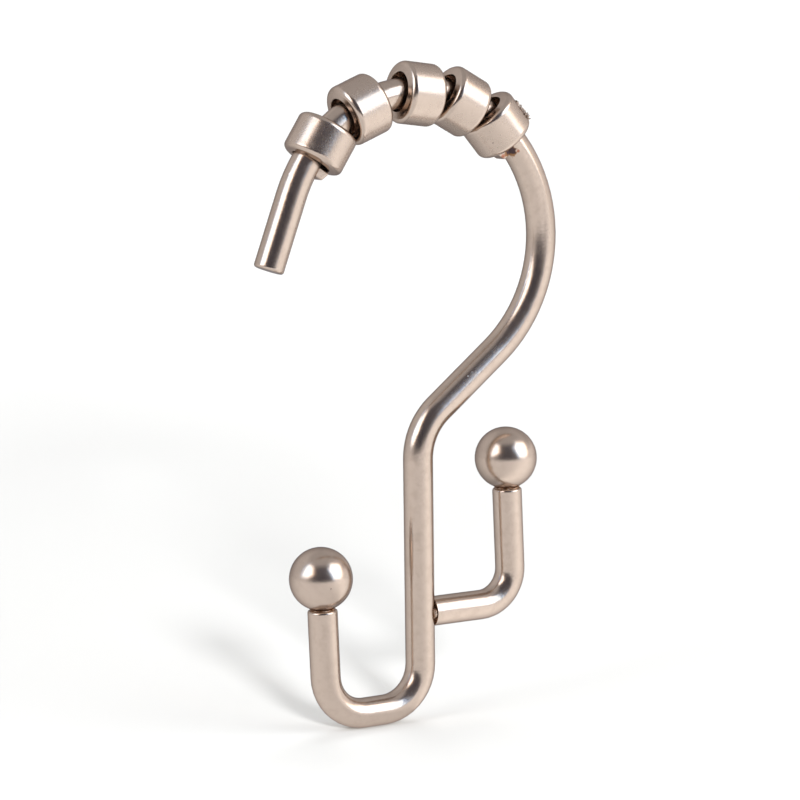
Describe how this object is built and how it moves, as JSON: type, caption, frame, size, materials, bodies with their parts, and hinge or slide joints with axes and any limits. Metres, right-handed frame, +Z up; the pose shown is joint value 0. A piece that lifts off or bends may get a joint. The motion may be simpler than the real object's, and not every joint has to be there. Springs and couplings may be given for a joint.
{
  "type": "curtain hook",
  "caption": "Roller hook for a shower rod: bent round wire with rollers over the rod, a ball-ended curtain hook in front and a welded ball-ended liner hook behind.",
  "frame": {"origin": "on the axis of the curtain rod, at the centre of the hook's round top", "axes": "+Z up, with the hook hanging on its rod; +Y along the rod; +X from the open tip side to the liner side"},
  "size_m": [0.043, 0.008, 0.0836],
  "materials": {
    "wire": "satin nickel plated steel wire",
    "ball": "satin nickel plated steel, smooth",
    "roller": "satin nickel plated steel, tumbled"
  },
  "bodies": {
    "hook": {"hook_wire": "wire", "liner_arm": "wire", "curtain_ball": "ball", "liner_ball": "ball"},
    "roller_1": {"roller_1": "roller"},
    "roller_2": {"roller_2": "roller"},
    "roller_3": {"roller_3": "roller"},
    "roller_4": {"roller_4": "roller"},
    "roller_5": {"roller_5": "roller"}
  },
  "joints": [
    {"name": "roller_1_spin", "type": "hinge", "parent": "hook", "child": "roller_1", "pos_m": [-0.0133, 0, 0.01267], "axis": [0.5445, 0, 0.8388], "continuous": true},
    {"name": "roller_2_spin", "type": "hinge", "parent": "hook", "child": "roller_2", "pos_m": [-0.00769, 0, 0.01668], "axis": [0.9265, 0, 0.3764], "continuous": true},
    {"name": "roller_3_spin", "type": "hinge", "parent": "hook", "child": "roller_3", "pos_m": [0.00025, 0, 0.01837], "axis": [0.9914, 0, -0.1309], "continuous": true},
    {"name": "roller_4_spin", "type": "hinge", "parent": "hook", "child": "roller_4", "pos_m": [0.00641, 0, 0.01721], "axis": [0.8718, 0, -0.4899], "continuous": true},
    {"name": "roller_5_spin", "type": "hinge", "parent": "hook", "child": "roller_5", "pos_m": [0.01175, 0, 0.01411], "axis": [0.6456, 0, -0.7637], "continuous": true}
  ]
}
